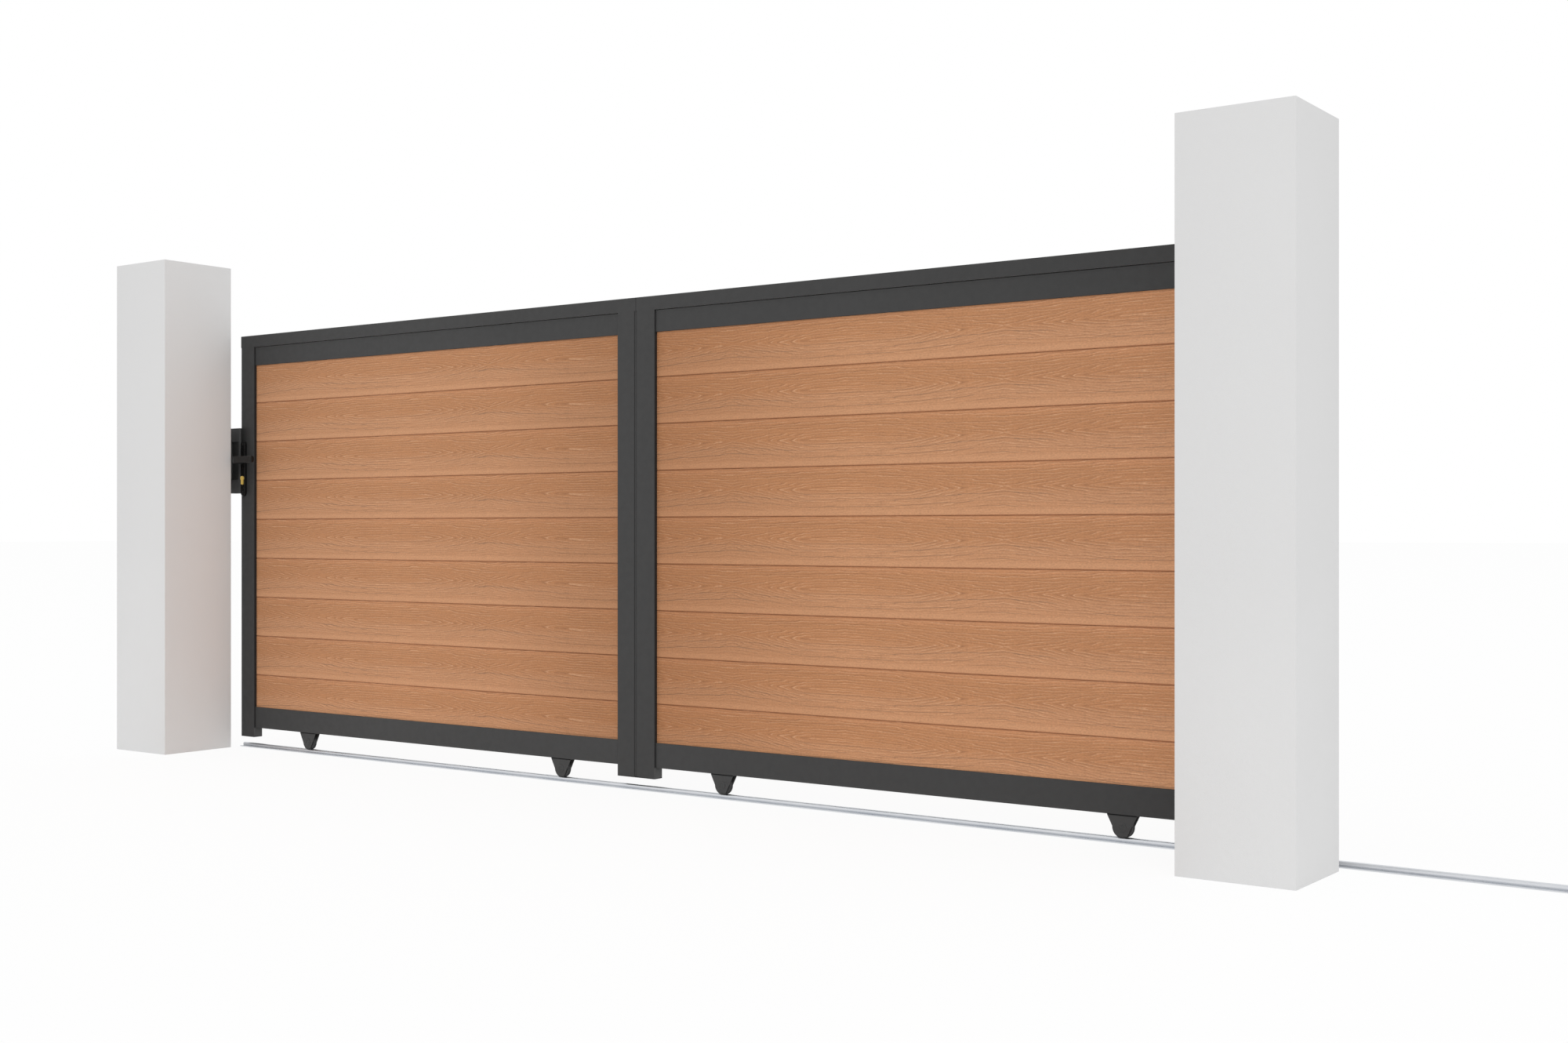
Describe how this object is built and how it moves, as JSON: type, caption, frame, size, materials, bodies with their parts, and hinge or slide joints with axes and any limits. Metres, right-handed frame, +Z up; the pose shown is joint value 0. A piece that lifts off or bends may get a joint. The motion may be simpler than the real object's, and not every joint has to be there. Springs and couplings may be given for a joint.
{
  "type": "sliding driveway gate",
  "caption": "Sliding driveway gate: boarded leaf in a dark metal frame on grooved wheels, running on a ground rail behind square rendered pillars, with a lever lock.",
  "frame": {"origin": "centre of the left (latch) pillar's foot, at ground level", "axes": "+X along the ground rail, the way the leaf opens; +Y from the street towards the yard; +Z up"},
  "size_m": [8.374, 0.4463, 1.85],
  "materials": {
    "pillar_render": "fine matt render, off-white",
    "frame_paint": "fine-textured matt anthracite powder coat",
    "board_wood": "oiled light reddish-tan timber grain, satin",
    "track_metal": "mill-finish aluminium, drawn along its length",
    "black_hardware": "satin black powder coat",
    "bracket_paint": "satin dark grey powder coat",
    "zinc_steel": "zinc plated steel",
    "cylinder_brass": "satin brass",
    "wheel_nylon": "turned dark nylon",
    "roller_nylon": "turned natural nylon",
    "cap_plastic": "black moulded plastic",
    "buffer_rubber": "matt black rubber"
  },
  "bodies": {
    "site": {"left_pillar": "pillar_render", "right_pillar": "pillar_render", "track_length_1": "track_metal", "track_length_2": "track_metal", "latch_keeper": "black_hardware", "guide_bracket": "zinc_steel", "guide_roller_front": "roller_nylon", "guide_roller_rear": "roller_nylon", "end_stop_bracket": "zinc_steel", "end_stop_buffer": "buffer_rubber"},
    "leaf": {"left_end_stile": "frame_paint", "left_centre_stile": "frame_paint", "right_centre_stile": "frame_paint", "right_end_stile": "frame_paint", "left_foot_cap": "cap_plastic", "centre_foot_cap": "cap_plastic", "right_foot_cap": "cap_plastic", "left_cap_profile": "frame_paint", "right_cap_profile": "frame_paint", "left_top_rail": "frame_paint", "right_top_rail": "frame_paint", "left_bottom_rail": "frame_paint", "right_bottom_rail": "frame_paint", "left_boards": "board_wood", "right_boards": "board_wood", "front_lock_plate": "black_hardware", "rear_lock_plate": "black_hardware", "lock_cylinder": "cylinder_brass", "lock_faceplate": "zinc_steel", "wheel_bracket_1": "bracket_paint", "wheel_axle_1": "bracket_paint", "wheel_bracket_2": "bracket_paint", "wheel_axle_2": "bracket_paint", "wheel_bracket_3": "bracket_paint", "wheel_axle_3": "bracket_paint", "wheel_bracket_4": "bracket_paint", "wheel_axle_4": "bracket_paint"},
    "lever": {"front_lever": "black_hardware", "rear_lever": "black_hardware", "lever_spindle": "zinc_steel"},
    "wheel_1": {"wheel_1": "wheel_nylon"},
    "wheel_2": {"wheel_2": "wheel_nylon"},
    "wheel_3": {"wheel_3": "wheel_nylon"},
    "wheel_4": {"wheel_4": "wheel_nylon"}
  },
  "joints": [
    {"name": "gate_slide", "type": "slide", "parent": "site", "child": "leaf", "axis": [1, 0, 0], "range_m": [0, 3.85]},
    {"name": "lever_turn", "type": "hinge", "parent": "leaf", "child": "lever", "pos_m": [0.173, 0.216, 1.11], "axis": [0, 1, 0], "range_deg": [0, 45], "stiffness_Nm_per_rad": 2, "springref_deg": -20.05},
    {"name": "wheel_1_spin", "type": "hinge", "parent": "leaf", "child": "wheel_1", "pos_m": [0.534, 0.216, 0.042], "axis": [0, 1, 0], "continuous": true},
    {"name": "wheel_2_spin", "type": "hinge", "parent": "leaf", "child": "wheel_2", "pos_m": [1.819, 0.216, 0.042], "axis": [0, 1, 0], "continuous": true},
    {"name": "wheel_3_spin", "type": "hinge", "parent": "leaf", "child": "wheel_3", "pos_m": [2.497, 0.216, 0.042], "axis": [0, 1, 0], "continuous": true},
    {"name": "wheel_4_spin", "type": "hinge", "parent": "leaf", "child": "wheel_4", "pos_m": [3.847, 0.216, 0.042], "axis": [0, 1, 0], "continuous": true}
  ],
  "couplings": [
    {"joint": "wheel_1_spin", "follows": "gate_slide", "rad_per_m": 37.037},
    {"joint": "wheel_2_spin", "follows": "gate_slide", "rad_per_m": 37.037},
    {"joint": "wheel_3_spin", "follows": "gate_slide", "rad_per_m": 37.037},
    {"joint": "wheel_4_spin", "follows": "gate_slide", "rad_per_m": 37.037}
  ]
}
